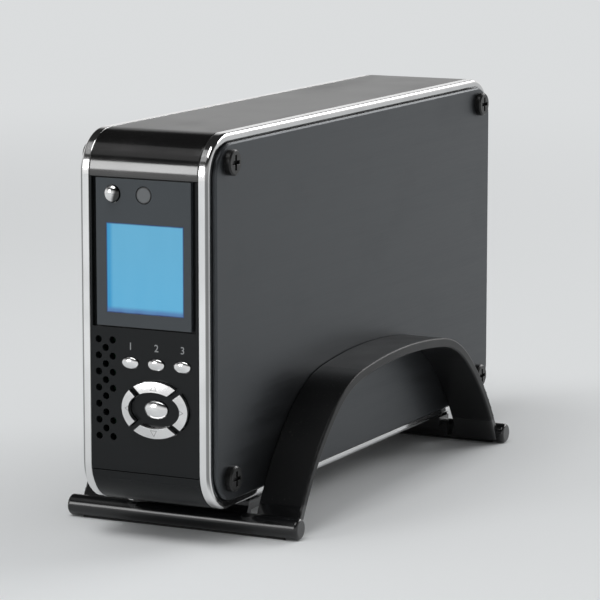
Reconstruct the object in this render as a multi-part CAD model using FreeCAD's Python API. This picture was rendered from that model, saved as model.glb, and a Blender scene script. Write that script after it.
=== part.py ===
"""Slim upright media player on an arched stand, with a 3.5 inch hard drive on a tray inside.

Frame: X runs across the thin case, Y from the front face (-Y) to the rear jacks (+Y), Z up
from the table.  Sizes are in millimetres.  Every piece is drawn about the middle of the case
and moved along Y when it is saved, so that the origin lies under the middle of the footprint.
"""
import FreeCAD, Part
import os
from math import acos, atan2, cos, degrees, radians, sin, sqrt

V = FreeCAD.Vector
X, Y, Z = V(1, 0, 0), V(0, 1, 0), V(0, 0, 1)
TINY = 0.01

# ---------------------------------------------------------------- driving dimensions
# case
case_length = 222.4
case_height = 120.1
case_rise = 11.1            # table to the underside of the case
corner_radius = 13.8
band_width = 38.8           # the black mouldings between the two bright trims
band_wall = 2.6
seam = 0.3                  # open line between neighbouring mouldings
band_edge = 0.3             # small chamfer along the band's two edges
upper_seam_drop = 14.2      # case top to the seam above the front and rear panels
lower_seam_rise = 11.8      # case underside to the seam below them
tongue = 1.2                # thickness of the laps behind the upper seams
tongue_reach = 3.0
tongue_width = 4.0
tongue_inset = 1.0
tongue_play = 0.1

# clearances and overlaps
fit_gap = 0.05              # close fits
hole_gap = 0.3              # screws through sheet
past = 1.0                  # how far a cut runs on beyond the face that it opens
lap = 0.5                   # how far joined lumps sink into each other

# bright trims and side panels
trim_width = 3.4
trim_bead = 2.4             # depth of the visible bead, measured in from the case outline
trim_round = 1.3
trim_flange = 1.2
flange_reach = 6.5          # inner edge of the trim's hidden flange, in from the case outline
ear_radius = 6.0
panel_gap = 0.6             # open line between trim and side panel
panel_proud = 1.5           # side panel beyond the trim
panel_sheet = 1.5
panel_rim = 2.2
panel_edge = 0.5

# side screws
screw_inset_y = 12.2
upper_screw_drop = 9.0
lower_screw_rise = 10.3
head_radius = 4.15
head_height = 2.2
shank_radius = 1.95
shank_length = 13.0
shank_short = 0.5
ear_play = 0.25             # trim and panel round the screws
post_radius = 4.2
post_rib = 2.4
head_bevel = 0.12           # a cross screw's shape, in parts of its head's radius
recess_reach = 0.6
recess_width = 0.15
recess_depth = 0.5          # in parts of its head's height

# stand: a three-centred arch of sheet, ending in two foot rails
arch_apex = 49.3
arch_sheet = 3.3
crown_radius = 236.0
crown_angle = 8.2
shoulder_radius = 45.0
shoulder_angle = 37.9
arch_width = 80.0
arch_edge = 0.7
foot_height = 2.4           # middle of the sheet's end, buried in the rail
foot_inset = 3.36           # the same point, in from the middle of the rail
rail_span = 170.0           # between the middles of the rails
rail_radius = 3.5
rail_length = 84.4
rail_edge = 1.0
grip_proud = 0.15
grip_width = 3.2
grip_depth = 0.8
grip_length = 74.0
slot_gap = 0.35             # each side of the side panels
notch_length = 3.0
notch_width = 3.6
ledge_length = 7.0
ledge_thickness = 3.0
ledge_root = 1.5            # how far the ledge runs on into the sheet
pad_thickness = 1.0
pad_length = 4.6
pad_round = 1.0
seat_gap = 0.2

# front face
window_width = 33.8
window_height = 47.6
window_plate = 1.6
window_gap = 1.7            # shadow gap on each side of the window
display_width = 27.7
display_height = 28.7
display_x = 0.49
display_drop = 28.7         # window's top to the middle of the display
display_web = 0.6
pane_seat = 0.1             # behind the pane
module_width = 31.0
module_height = 34.0
power_x = -10.95
power_radius = 2.7
power_dome = 1.8
power_spread = 0.12
ir_x = 0.2
ir_radius = 2.8
ir_edge = 0.3
ir_hole_radius = 2.0
ir_lens_radius = 1.7
ir_lens_proud = 0.4
eye_size = 5.0
eye_setback = 0.8
top_row_drop = 5.2          # window's top to the power button's row
oval_x = (-4.9, 4.4, 13.7)
oval_rise = 35.4            # the lower seam to the middles of the oval buttons
oval_rx = 2.9
oval_rz = 1.8
oval_dome = 1.1
dome_spread = 0.2           # the domes' radii beyond the caps they round off
pad_x = 4.3
pad_rise = 21.1             # the lower seam to the middle of the pad
pad_outer_rx = 11.75
pad_outer_rz = 9.1
pad_inner_rx = 9.2
pad_inner_rz = 5.8
pad_slit = 2.0
pad_crown = 2.6             # rise of the dome that the four curved keys are cut from
pad_spread = 3.75
pad_sunk = 0.5              # the dome's equator lies this far inside the face
key_rx = 4.15
key_rz = 2.9
key_dome = 1.6
vent_radius = 1.15
vent_pitch = 5.2
vent_column = 2.55
vent_x = -16.45
vent_rise = 42.2            # the lower seam to the first row of vents
vent_rows = (7, 6, 7)
vent_skipped = (2, 4)       # column and hole left out of the pattern

# what the buttons do
button_gap = 0.2
button_travel = 0.5
button_flange = 0.8
flange_thickness = 1.0
flange_gap = 0.2
stem_radius = 1.6
switch_size = 5.6
switch_height = 3.5
stem_engaged = 0.5
stem_play = 0.15            # round the stems in the switches' wells
well_floor_gap = 0.5        # left under a stem that is pressed home
switch_setback = 1.8        # flange to the front of the switches

# circuit boards
board_thickness = 1.6
front_board_width = 36.4
front_board_rise = 3.5      # from the lower seam
front_board_drop = 2.0      # from the upper seam
boss_radius = 2.3
front_boss_x = 14.6
front_boss_rise = 6.1       # from the lower seam
front_boss_drop = 1.2       # from the window's lower edge
small_shank = 0.9
small_head = 1.9
small_head_height = 1.3
small_shank_length = 5.0
small_bore_end = 0.5        # bore beyond the point of a small screw

# rear face
jack_pitch_x = 14.4
jack_pitch_z = 14.3
jack_drop = 6.6             # the upper seam to the first row of jacks
jack_radius = 4.15
jack_neck = 3.9             # sleeve radius inside the panel and its base ring
jack_rim = 0.95
jack_tail = 2.0             # sleeve behind the rear wall
core_floor = 1.5
jack_reach = 8.6
short_jack_reach = 6.6
jack_hole = 1.6
jack_sink = 0.5
ring_radius = 5.9
ring_height = 1.5
ring_rim = 0.7
rim_bevel = 0.3             # in parts of the rim's thickness
ring_floor = 0.6
block_depth = 10.8
block_margin = 5.2
svideo_x = 6.9
svideo_rise = 28.8          # the sockets' middles, from the lower seam
svideo_radius = 5.85
svideo_plug_radius = 4.7
svideo_core_radius = 4.0
socket_depth = 6.0
groove_rise = 1.0           # plug groove's floor above the pin holes'
usb_x = -7.65
usb_rise = 24.25
usb_height = 8.3
usb_width = 4.1
usb_taper = 1.6
usb_shell = 0.45
usb_proud = 0.3
usb_floor = 1.5
usb_tongue = 0.8
usb_tongue_sunk = 1.2
usb_tongue_share = 0.6
opening_gap = 0.1           # rear panel round the sockets
power_in_x = -3.0
power_in_rise = 9.4
power_in_width = 13.2
power_in_height = 14.2
power_in_radius = 4.85
power_plug_radius = 4.3
power_core_radius = 3.6
socket_proud = 0.5
socket_sunk = 0.2           # the power socket's core, in from its block's face
block_edge = 0.25
pin_hole_radius = 0.5
pin_circle = 2.3
pin_angles = (30, 150, 215, 325)
key_width = 1.6
key_height = 1.0
key_wall = 0.3
rear_screw_x = 0.6
rear_screw_drops = (7.0, 22.0)      # two screws, from the first row of jacks
rear_screw_rise = 7.9       # the third, from the S-Video socket's middle
rear_vent_x = 16.9
rear_vent_radius = 0.95
rear_vent_pitch = 8.87
rear_vent_drop = 13.4       # the first row of jacks to the first vents
rear_vent_count = 7
rear_board_rise = 7.1       # from the lower seam
rear_board_drop = 1.0       # from the upper seam
rear_board_margin = 2.0
rear_head_proud = 0.3

# drive, tray and main board
drive_length = 147.0
drive_width = 101.6
drive_thickness = 26.1
drive_y = -1.5              # middle of the drive along the case
drive_gap = 0.2
lid_thickness = 1.0
lid_inset = 3.0
lid_short = 20.0            # lid's end to the drive's rear end
lid_corner = 4.0
lid_groove_radius = 46.0
lid_groove_width = 2.0
lid_groove_depth = 0.4
lid_groove_y = 6.0          # platters' middle, from the drive's middle
casting_corner = 2.0
casting_edge = 1.0
drive_board_pocket = 3.0
drive_board_length = 96.0
pocket_margin = 8.0
hub_radius = 14.0
hub_y = 28.0
hub_sunk = 1.0
step_length = 18.0          # cast step at the rear lower corner, on the lid's side
step_height = 12.0
step_depth = 8.0
bare_board = 30.0           # pocket beyond the end of the drive's board
drive_board_sunk = 1.2
drive_board_gap = 1.0
header_depth = 7.0
header_side = 2.0           # header beyond the ribbon, each side
header_lift = 0.2
tray_sheet = 1.2
tray_face_x = 9.0           # side of the tray that the drive lies against
tray_margin = 14.5          # half of what the tray is longer than the drive
tray_flange = 25.0
tray_bend = 1.0
tray_screw_inset = 6.0      # from the tray's ends
tray_screw_x = -3.0
tray_boss_radius = 3.0
ribbon_room = 3.0           # tray's gap round the ribbon, each side
ribbon_gap_y = 2.0
vent_slot_length = 30.0
vent_slot_width = 6.0
vent_slot_step_y = 40.0
vent_slot_step_z = 14.4
slot_flat = 0.1             # straight left between the slots' rounded ends
drive_hole_y = (-41.3, 44.45)
drive_hole_z = 47.65
standoff_height = 4.0
standoff_radius = 2.6
board_length = 156.0
board_height = 100.0
board_y = 3.0
board_hole_inset = 4.5
ribbon_width = 50.0
ribbon_sheet = 0.9
ribbon_turn = 5.2
plug_length = 6.5
plug_thickness = 4.4
plug_side = 1.0             # plugs beyond the ribbon, each side
plug_gap = 0.1
plug_play = 0.3
sink_size = 30.0
sink_y = 12.0               # heat sink's middle, from the main board's middle
sink_z = 8.0
sink_base = 1.5
sink_height = 5.0
fin_thickness = 1.1
fin_count = 8
chip_size = 12.0
chip_height = 1.2
chip_y = 40.0               # parts' places from the main board's middle
chip_z = (-24.0, -4.0, 16.0)
can_radius = 3.0
can_height = 4.8
can_y = 60.0
can_z = (-34.0, -25.0, -16.0, -7.0, 2.0)
header_height = 4.6
plug_row_y = (66.0, 74.0)
plug_row_z = (12.0, 40.0)
plug_row_height = 4.0

# ---------------------------------------------------------------- worked-out places
front_y = -case_length / 2
rear_y = case_length / 2
bottom_z = case_rise
top_z = case_rise + case_height
middle_z = (bottom_z + top_z) / 2
band_x = band_width / 2
trim_x = band_x + trim_width
panel_x = trim_x + panel_proud
panel_inset = trim_bead + panel_gap
upper_seam_z = top_z - upper_seam_drop
lower_seam_z = bottom_z + lower_seam_rise
screw_y = case_length / 2 - screw_inset_y
upper_screw_z = top_z - upper_screw_drop
lower_screw_z = bottom_z + lower_screw_rise
inner_front_y = front_y + band_wall
inner_rear_y = rear_y - band_wall
web_y = front_y + window_plate
flange_y = inner_front_y + flange_gap
switch_y = flange_y + flange_thickness + switch_setback
front_board_y = switch_y + switch_height
switch_well = stem_engaged + button_travel + well_floor_gap
rear_board_y = inner_rear_y - block_depth - board_thickness
window_top = upper_seam_z
window_bottom = window_top - window_height
display_z = window_top - display_drop
top_row_z = window_top - top_row_drop
oval_z = lower_seam_z + oval_rise
pad_z = lower_seam_z + pad_rise
vent_top = lower_seam_z + vent_rise
front_board_bottom = lower_seam_z + front_board_rise
front_board_top = upper_seam_z - front_board_drop
front_boss_z = (lower_seam_z + front_boss_rise, window_bottom - front_boss_drop)
jack_top_z = upper_seam_z - jack_drop
svideo_z = lower_seam_z + svideo_rise
usb_z = lower_seam_z + usb_rise
power_in_z = lower_seam_z + power_in_rise
rear_screw_z = tuple(jack_top_z - drop for drop in rear_screw_drops) + (svideo_z + rear_screw_rise,)
rear_vent_top = jack_top_z - rear_vent_drop
rear_board_bottom = lower_seam_z + rear_board_rise
rear_board_top = upper_seam_z - rear_board_drop
pad_slope = sqrt(1 - (pad_inner_rz / (pad_outer_rz + pad_spread)) ** 2)
front_reach = front_y + pad_sunk - (pad_crown + pad_sunk) * pad_slope
rear_reach = rear_y + jack_reach
jack_root_y = rear_y + ring_height
jack_back_y = inner_rear_y - jack_tail
tray_back_x = tray_face_x + tray_sheet
board_x = tray_back_x + standoff_height
board_face_x = board_x + board_thickness
tray_length = drive_length + 2 * tray_margin
tray_screw_y = tray_length / 2 - tray_screw_inset
drive_low_z = middle_z - drive_width / 2
drive_high_z = middle_z + drive_width / 2
tray_low_z = drive_low_z - drive_gap - tray_sheet
tray_high_z = drive_high_z + drive_gap + tray_sheet
drive_front_y = drive_y - drive_length / 2
drive_rear_y = drive_y + drive_length / 2
drive_face_x = tray_face_x - plug_gap
drive_lid_x = drive_face_x - drive_thickness
header_reach = ribbon_width / 2 + header_side
origin_shift = V(0, -(front_reach + rear_reach) / 2, 0)


# ---------------------------------------------------------------- shape helpers
def box(x0, x1, y0, y1, z0, z1):
    """A plain block between two corners."""
    return Part.makeBox(x1 - x0, y1 - y0, z1 - z0, V(x0, y0, z0))


def rod(radius, start, end):
    """A round bar from one point to another."""
    axis = end - start
    return Part.makeCylinder(radius, axis.Length, start, axis)


def rod_x(radius, x0, x1, y, z):
    return rod(radius, V(x0, y, z), V(x1, y, z))


def rod_y(radius, y0, y1, x, z):
    return rod(radius, V(x, y0, z), V(x, y1, z))


def tube_y(outer, inner, y0, y1, x, z):
    return rod_y(outer, y0, y1, x, z).cut(rod_y(inner, y0 - past, y1 + past, x, z))


def rounded_box(x0, x1, y0, y1, z0, z1, radius, along):
    """A block whose four edges along one axis are rounded."""
    block = box(x0, x1, y0, y1, z0, z1)
    edges = [e for e in block.Edges if e.tangentAt(e.FirstParameter).cross(along).Length < TINY]
    return block.makeFillet(radius, edges)


def case_slab(inset, x0, x1):
    """The case's side outline, moved in by inset, as a slab across X."""
    return rounded_box(x0, x1, front_y + inset, rear_y - inset, bottom_z + inset, top_z - inset,
                       corner_radius - inset, X)


def edges_at_x(shape, x):
    """Edges that lie wholly in the plane at x."""
    return [e for e in shape.Edges if e.BoundBox.XLength < TINY and abs(e.CenterOfMass.x - x) < TINY]


def edges_at_y(shape, y):
    return [e for e in shape.Edges if e.BoundBox.YLength < TINY and abs(e.CenterOfMass.y - y) < TINY]


def ellipse_bar(x, z, rx, rz, y0, y1):
    """An elliptical bar along Y."""
    curve = Part.Ellipse(V(x + rx, y0, z), V(x, y0, z + rz), V(x, y0, z))
    return Part.Face(Part.Wire(curve.toShape())).extrude(V(0, y1 - y0, 0))


def front_dome(x, z, rx, rise, rz, y):
    """The half of an ellipsoid that stands out of the front face from the plane y."""
    matrix = FreeCAD.Matrix()
    matrix.scale(V(rx, rise, rz))
    whole = Part.makeSphere(1.0).transformGeometry(matrix)
    whole.translate(V(x, y, z))
    return whole.common(box(x - rx - past, x + rx + past, y - rise - past, y, z - rz - past, z + rz + past))


def fused(shapes):
    """One clean solid from several that touch."""
    shapes = list(shapes)
    return shapes[0].multiFuse(shapes[1:]).removeSplitter() if len(shapes) > 1 else shapes[0]


def both_sides(shape):
    """A shape and its mirror image across the case's middle plane."""
    return [shape, shape.mirror(V(0, 0, 0), X)]


def both_ends(shape):
    return [shape, shape.mirror(V(0, 0, 0), Y)]


def cross_screw(seat, outward, radius, height, shank, length):
    """A cross-recess screw, with the underside of its head at seat and the head towards outward."""
    head = Part.makeCylinder(radius, height)
    rim = [e for e in head.Edges if abs(e.CenterOfMass.z - height) < TINY and e.BoundBox.ZLength < TINY]
    head = head.makeChamfer(radius * head_bevel, rim)
    body = head.fuse(Part.makeCylinder(shank, length, V(0, 0, -length)))
    reach, slot, depth = radius * recess_reach, radius * recess_width, height * recess_depth
    body = body.cut(box(-reach, reach, -slot, slot, height - depth, height + past))
    body = body.cut(box(-slot, slot, -reach, reach, height - depth, height + past))
    body.Placement = FreeCAD.Placement(seat, FreeCAD.Rotation(Z, outward))
    return body


def small_screw(seat, outward, length=small_shank_length):
    return cross_screw(seat, outward, small_head, small_head_height, small_shank, length)


def small_bore(seat, outward, length=small_shank_length):
    """The hole that a small screw runs into, with a close thread clearance."""
    return rod(small_shank + fit_gap, seat + outward * past, seat - outward * (length + small_bore_end))


# ---------------------------------------------------------------- stand
crown_centre = V(0, 0, arch_apex - crown_radius)


def on_arc(centre, radius, angle):
    """The point of an arc in the YZ plane, where angle is measured from straight up."""
    return V(0, centre.y + radius * sin(radians(angle)), centre.z + radius * cos(radians(angle)))


rail_y = rail_span / 2
rail_z = rail_radius + grip_proud
shoulder_centre = on_arc(crown_centre, crown_radius - shoulder_radius, crown_angle)
# The flank leaves the shoulder along its tangent, and its sheet's middle line ends inside the rail.
shoulder_end = on_arc(shoulder_centre, shoulder_radius - arch_sheet / 2, shoulder_angle)
flank_chord = V(0, rail_y - foot_inset, foot_height) - shoulder_end
flank_middle = flank_chord.dot(flank_chord) / (2 * flank_chord.dot(on_arc(V(), -1, shoulder_angle)))
flank_radius = flank_middle + arch_sheet / 2
flank_centre = on_arc(shoulder_centre, shoulder_radius - flank_radius, shoulder_angle)
flank_angle = degrees(acos((foot_height - flank_centre.z) / flank_middle))
slot_end_z = bottom_z - seat_gap
slot_end_y = flank_centre.y + sqrt(flank_radius ** 2 - (slot_end_z - flank_centre.z) ** 2)
slot_x = panel_x + slot_gap
ledge_top = bottom_z - seat_gap - pad_thickness


def arch_line(offset):
    """Right half of the arch's line, offset inwards: crown, shoulder and flank arcs."""
    stretches = ((crown_centre, crown_radius, 0.0, crown_angle),
                 (shoulder_centre, shoulder_radius, crown_angle, shoulder_angle),
                 (flank_centre, flank_radius, shoulder_angle, flank_angle))
    return [Part.Arc(*(on_arc(centre, radius - offset, a) for a in (start, (start + end) / 2, end)))
            .toShape() for centre, radius, start, end in stretches]


def stand_arch():
    """The arched sheet, its two foot rails, and the slot that the case drops into."""
    outer, inner = arch_line(0), arch_line(arch_sheet)
    crown = Part.makeLine(V(0, 0, arch_apex), V(0, 0, arch_apex - arch_sheet))
    foot = Part.makeLine(on_arc(flank_centre, flank_radius, flank_angle),
                         on_arc(flank_centre, flank_radius - arch_sheet, flank_angle))
    outline = Part.Wire(Part.__sortEdges__(outer + inner + [crown, foot]))
    half = Part.Face(outline).extrude(V(arch_width, 0, 0))
    half.translate(V(-arch_width / 2, 0, 0))
    sheet = fused(both_ends(half))
    long_edges = [e for side in (-1, 1) for e in edges_at_x(sheet, side * arch_width / 2)
                  if e.Length > arch_sheet + TINY]
    sheet = sheet.makeFillet(arch_edge, long_edges)
    rail = rod_x(rail_radius, -rail_length / 2, rail_length / 2, rail_y, rail_z)
    rail = rail.makeFillet(rail_edge, [e for s in (-1, 1) for e in edges_at_x(rail, s * rail_length / 2)])
    stand = fused([sheet] + both_ends(rail))
    slot = box(-slot_x, slot_x, -slot_end_y, slot_end_y, 0, arch_apex + past)
    notch = box(slot_x - notch_width, slot_x, slot_end_y - past, slot_end_y + notch_length, 0, arch_apex)
    notches = [n for end in both_ends(notch) for n in both_sides(end)]
    stand = stand.cut(Part.makeCompound([slot] + notches))
    ledge_x = slot_x - notch_width
    ledge = box(-ledge_x, ledge_x, slot_end_y - ledge_length, slot_end_y + ledge_root,
                ledge_top - ledge_thickness, ledge_top)
    stand = fused([stand] + both_ends(ledge))
    groove = box(-grip_length / 2, grip_length / 2, rail_y - grip_width / 2, rail_y + grip_width / 2,
                 -past, grip_proud + grip_depth)
    return stand.cut(Part.makeCompound(both_ends(groove)))


def rail_grips():
    """Rubber strips let into the undersides of the rails."""
    strip = box(-grip_length / 2, grip_length / 2, rail_y - grip_width / 2, rail_y + grip_width / 2,
                0, grip_proud + grip_depth)
    return Part.makeCompound(both_ends(strip))


def seat_pads():
    """Rubber pads on the slot's two ledges, which the case rests on."""
    far = slot_end_y - seat_gap
    reach = slot_x - notch_width - pad_round
    pad = rounded_box(-reach, reach, far - pad_length, far, ledge_top, ledge_top + pad_thickness,
                      pad_round, Z)
    return Part.makeCompound(both_ends(pad))


# ---------------------------------------------------------------- case mouldings
def band():
    """The whole black ring between the trims, before it is parted at its seams."""
    ring = case_slab(0, -band_x, band_x)
    rim = edges_at_x(ring, -band_x) + edges_at_x(ring, band_x)
    ring = ring.makeChamfer(band_edge, rim)
    return ring.cut(case_slab(band_wall, -band_x - past, band_x + past))


def slice_of_band(y0, y1, z0, z1):
    return band().common(box(-band_x - past, band_x + past, y0, y1, z0, z1))


def post(z, wall_z):
    """A screw post right across the case, joined to the nearest wall by a rib."""
    bar = rod_x(post_radius, -band_x, band_x, screw_y, z)
    rib = box(-band_x, band_x, screw_y - post_rib / 2, screw_y + post_rib / 2, min(z, wall_z), max(z, wall_z))
    bores = both_sides(rod_x(shank_radius + fit_gap, trim_x - shank_length, band_x + past, screw_y, z))
    return both_ends(bar.fuse(rib).cut(Part.makeCompound(bores)))


def tray_boss(z0, z1):
    """Bosses that the drive tray's flanges are screwed to."""
    return both_ends(rod(tray_boss_radius, V(tray_screw_x, tray_screw_y, z0),
                         V(tray_screw_x, tray_screw_y, z1)))


def tray_screw_places():
    """Seats and directions of the four tray screws."""
    return [(V(tray_screw_x, side * tray_screw_y, z), V(0, 0, up))
            for side in (-1, 1)
            for z, up in ((tray_low_z + tray_sheet, 1), (tray_high_z - tray_sheet, -1))]


def cover(ring_part, posts, bosses):
    shape = fused([ring_part] + posts + bosses)
    return shape.cut(Part.makeCompound([small_bore(*place) for place in tray_screw_places()]))


def top_cover():
    wall_z = top_z - band_wall
    ring_part = slice_of_band(front_y - past, rear_y + past, upper_seam_z + seam / 2, top_z + past)
    return cover(ring_part, post(upper_screw_z, wall_z + lap), tray_boss(tray_high_z, wall_z + lap))


def bottom_cover():
    wall_z = bottom_z + band_wall
    ring_part = slice_of_band(front_y - past, rear_y + past, bottom_z - past, lower_seam_z - seam / 2)
    return cover(ring_part, post(lower_screw_z, wall_z - lap), tray_boss(wall_z - lap, tray_low_z))


def tongues(end):
    """Short laps at a panel's upper seam, which locate it behind the top cover; end is -1 or 1."""
    reach = corner_radius - band_wall
    curve_y = case_length / 2 - corner_radius + sqrt(reach ** 2 - tongue_reach ** 2)
    x1 = band_x - tongue_inset
    x0 = x1 - tongue_width
    low = box(x0, x1, curve_y - tongue, inner_rear_y + lap, upper_seam_z - tongue_reach, upper_seam_z - seam)
    high = box(x0, x1, curve_y - tongue, curve_y - tongue_play,
               upper_seam_z - tongue_reach, upper_seam_z + tongue_reach)
    strip = low.fuse(high)
    return [t if end > 0 else t.mirror(V(0, 0, 0), Y) for t in both_sides(strip)]


# ---------------------------------------------------------------- trims, side panels, side screws
def screw_points():
    """Middles of the four side screws, in Y and Z."""
    return [(side * screw_y, z) for side in (-1, 1) for z in (upper_screw_z, lower_screw_z)]


def right_trim():
    """Bright bead round the case's edge, with a hidden flange and four screw ears."""
    bead = case_slab(0, band_x, trim_x)
    bead = bead.makeFillet(trim_round, edges_at_x(bead, trim_x))
    bead = bead.makeFillet(band_edge, edges_at_x(bead, band_x))
    bead = bead.cut(case_slab(trim_bead, band_x + trim_flange, trim_x + past))
    ring = bead.cut(case_slab(flange_reach, band_x - past, band_x + trim_flange + past))
    ears = [rod_x(ear_radius, band_x, band_x + trim_flange, y, z) for y, z in screw_points()]
    holes = [rod_x(shank_radius + ear_play, band_x - past, trim_x, y, z) for y, z in screw_points()]
    return fused([ring] + ears).cut(Part.makeCompound(holes))


def right_panel():
    """Aluminium side panel: a shallow pan with a bevelled face edge and a boss at each screw."""
    back_x = band_x + trim_flange
    plate = case_slab(panel_inset, back_x, panel_x)
    plate = plate.makeChamfer(panel_edge, edges_at_x(plate, panel_x))
    hollow = case_slab(panel_inset + panel_rim, back_x - past, panel_x - panel_sheet)
    bosses = [rod_x(ear_radius, back_x - past, panel_x, y, z) for y, z in screw_points()]
    plate = plate.cut(hollow.cut(Part.makeCompound(bosses)))
    holes = [rod_x(shank_radius + ear_play, back_x - past, panel_x + past, y, z) for y, z in screw_points()]
    return plate.cut(Part.makeCompound(holes))


def panel_screws():
    right = [cross_screw(V(panel_x, y, z), X, head_radius, head_height, shank_radius,
                         shank_length + panel_proud - shank_short) for y, z in screw_points()]
    return Part.makeCompound([s for screw in right for s in both_sides(screw)])


# ---------------------------------------------------------------- front face
def front_vents():
    """Three staggered columns of round holes, with one hole left out."""
    holes = []
    for column, rows in enumerate(vent_rows):
        x, drop = vent_x + column * vent_column, (max(vent_rows) - rows) * vent_pitch / 2
        for row in range(rows):
            if (column, row) != vent_skipped:
                holes.append(rod_y(vent_radius, front_y - past, inner_front_y + past,
                                   x, vent_top - drop - row * vent_pitch))
    return holes


def pad_ring(grow, slit, y0, y1):
    """Four curved pieces between two ellipses, parted by two diagonal slits: up, down, left, right."""
    ring = ellipse_bar(pad_x, pad_z, pad_outer_rx + grow, pad_outer_rz + grow, y0, y1)
    ring = ring.cut(ellipse_bar(pad_x, pad_z, pad_inner_rx - grow, pad_inner_rz - grow, y0 - past, y1 + past))
    tilt = degrees(atan2(pad_outer_rz, pad_outer_rx))
    for angle in (tilt, -tilt):
        bar = box(-pad_outer_rx * 2, pad_outer_rx * 2, y0 - past, y1 + past, -slit / 2, slit / 2)
        bar.Placement = FreeCAD.Placement(V(pad_x, 0, pad_z), FreeCAD.Rotation(Y, angle))
        ring = ring.cut(bar)
    pieces = ring.Solids
    return {"up": max(pieces, key=lambda s: s.CenterOfMass.z),
            "down": min(pieces, key=lambda s: s.CenterOfMass.z),
            "left": min(pieces, key=lambda s: s.CenterOfMass.x),
            "right": max(pieces, key=lambda s: s.CenterOfMass.x)}


pad_middle_rx = (pad_outer_rx + pad_inner_rx) / 2
pad_middle_rz = (pad_outer_rz + pad_inner_rz) / 2
pad_stems = {"up": (pad_x, pad_z + pad_middle_rz), "down": (pad_x, pad_z - pad_middle_rz),
             "left": (pad_x - pad_middle_rx, pad_z), "right": (pad_x + pad_middle_rx, pad_z)}
oval_names = ("left_oval_button", "middle_oval_button", "right_oval_button")
button_places = {"power_button": (power_x, top_row_z), "pad_centre_key": (pad_x, pad_z)}
button_places.update(dict(zip(oval_names, ((x, oval_z) for x in oval_x))))
button_places.update({"pad_%s_key" % side: place for side, place in pad_stems.items()})
front_bosses = [(side * front_boss_x, z) for side in (-1, 1) for z in front_boss_z]
front_bosses.append((front_boss_x, top_row_z))


def display_box(grow, y0, y1):
    """A block of the display's size, grown on all four sides."""
    half_x, half_z = display_width / 2 + grow, display_height / 2 + grow
    return box(display_x - half_x, display_x + half_x, y0, y1, display_z - half_z, display_z + half_z)


def front_panel():
    """Front moulding with the window recess, button openings, vent holes and board bosses."""
    wall = slice_of_band(front_y - past, 0, lower_seam_z + seam / 2, upper_seam_z - seam / 2)
    recess_x = window_width / 2 + window_gap
    through = (front_y - past, inner_front_y + past)
    cuts = [box(-recess_x, recess_x, front_y - past, web_y, window_bottom - seam / 2, window_top + past)]
    cuts.append(display_box(display_web + button_gap, *through))
    cuts.append(rod_y(power_radius + button_gap, *through, power_x, top_row_z))
    cuts.append(rod_y(ir_hole_radius, *through, ir_x, top_row_z))
    cuts += [ellipse_bar(x, oval_z, oval_rx + button_gap, oval_rz + button_gap, *through) for x in oval_x]
    cuts.append(ellipse_bar(pad_x, pad_z, key_rx + button_gap, key_rz + button_gap, *through))
    cuts += pad_ring(button_gap, pad_slit - 2 * button_gap, *through).values()
    cuts += front_vents()
    wall = wall.cut(Part.makeCompound(cuts))
    bosses = [rod_y(boss_radius, inner_front_y - lap, front_board_y, x, z) for x, z in front_bosses]
    shape = fused([wall] + bosses + tongues(-1))
    bores = [rod_y(small_shank + fit_gap, inner_front_y, front_board_y + past, x, z) for x, z in front_bosses]
    return shape.cut(Part.makeCompound(bores))


def window_lens():
    """Smoked plate over the display, with openings for the pane, the power button and the eye."""
    plate = box(-window_width / 2, window_width / 2, front_y, web_y, window_bottom + seam, window_top - seam)
    through = (front_y - past, web_y + past)
    plate = plate.cut(display_box(0, *through))
    plate = plate.cut(rod_y(power_radius + button_gap, *through, power_x, top_row_z))
    return plate.cut(rod_y(ir_radius + fit_gap, *through, ir_x, top_row_z))


def display_pane():
    return display_box(-fit_gap, front_y, web_y - pane_seat)


def ir_window():
    eye = rod_y(ir_radius, front_y, web_y, ir_x, top_row_z)
    return eye.makeChamfer(ir_edge, edges_at_y(eye, front_y))


def display_module():
    """Display body behind the panel, with its lit face raised through the panel to the pane."""
    half_x, half_z = module_width / 2, module_height / 2
    body = box(display_x - half_x, display_x + half_x, inner_front_y, front_board_y,
               display_z - half_z, display_z + half_z)
    face = display_box(display_web, web_y, inner_front_y + lap)
    return body.fuse(face).removeSplitter()


def button(name, cap, flange):
    """A button: its cap, the flange that keeps it in, and the stem that works its switch."""
    x, z = button_places[name]
    stem = rod_y(stem_radius, flange_y, switch_y + stem_engaged, x, z)
    return fused([cap, flange, stem])


def crowned(bar, x, z, rx, rz, rise, sunk):
    """Cut a bar's front to a dome of radii rx and rz whose equator lies sunk inside the face."""
    base_y = front_y + sunk
    dome = front_dome(x, z, rx, rise + sunk, rz, base_y)
    body = box(x - 2 * rx, x + 2 * rx, base_y, flange_y + flange_thickness, z - 2 * rz, z + 2 * rz)
    return bar.common(dome.fuse(body))


def power_button():
    x, z = button_places["power_button"]
    bar = rod_y(power_radius, front_y - power_dome - past, flange_y + flange_thickness / 2, x, z)
    spread = power_radius + power_spread
    cap = crowned(bar, x, z, spread, spread, power_dome, 0)
    flange = rod_y(power_radius + button_flange, flange_y, flange_y + flange_thickness, x, z)
    return button("power_button", cap, flange)


def elliptic_button(name, rx, rz, dome):
    x, z = button_places[name]
    bar = ellipse_bar(x, z, rx, rz, front_y - dome - past, flange_y + flange_thickness / 2)
    cap = crowned(bar, x, z, rx + dome_spread, rz + dome_spread, dome, 0)
    flange = ellipse_bar(x, z, rx + button_flange, rz + button_flange, flange_y, flange_y + flange_thickness)
    return button(name, cap, flange)


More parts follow.
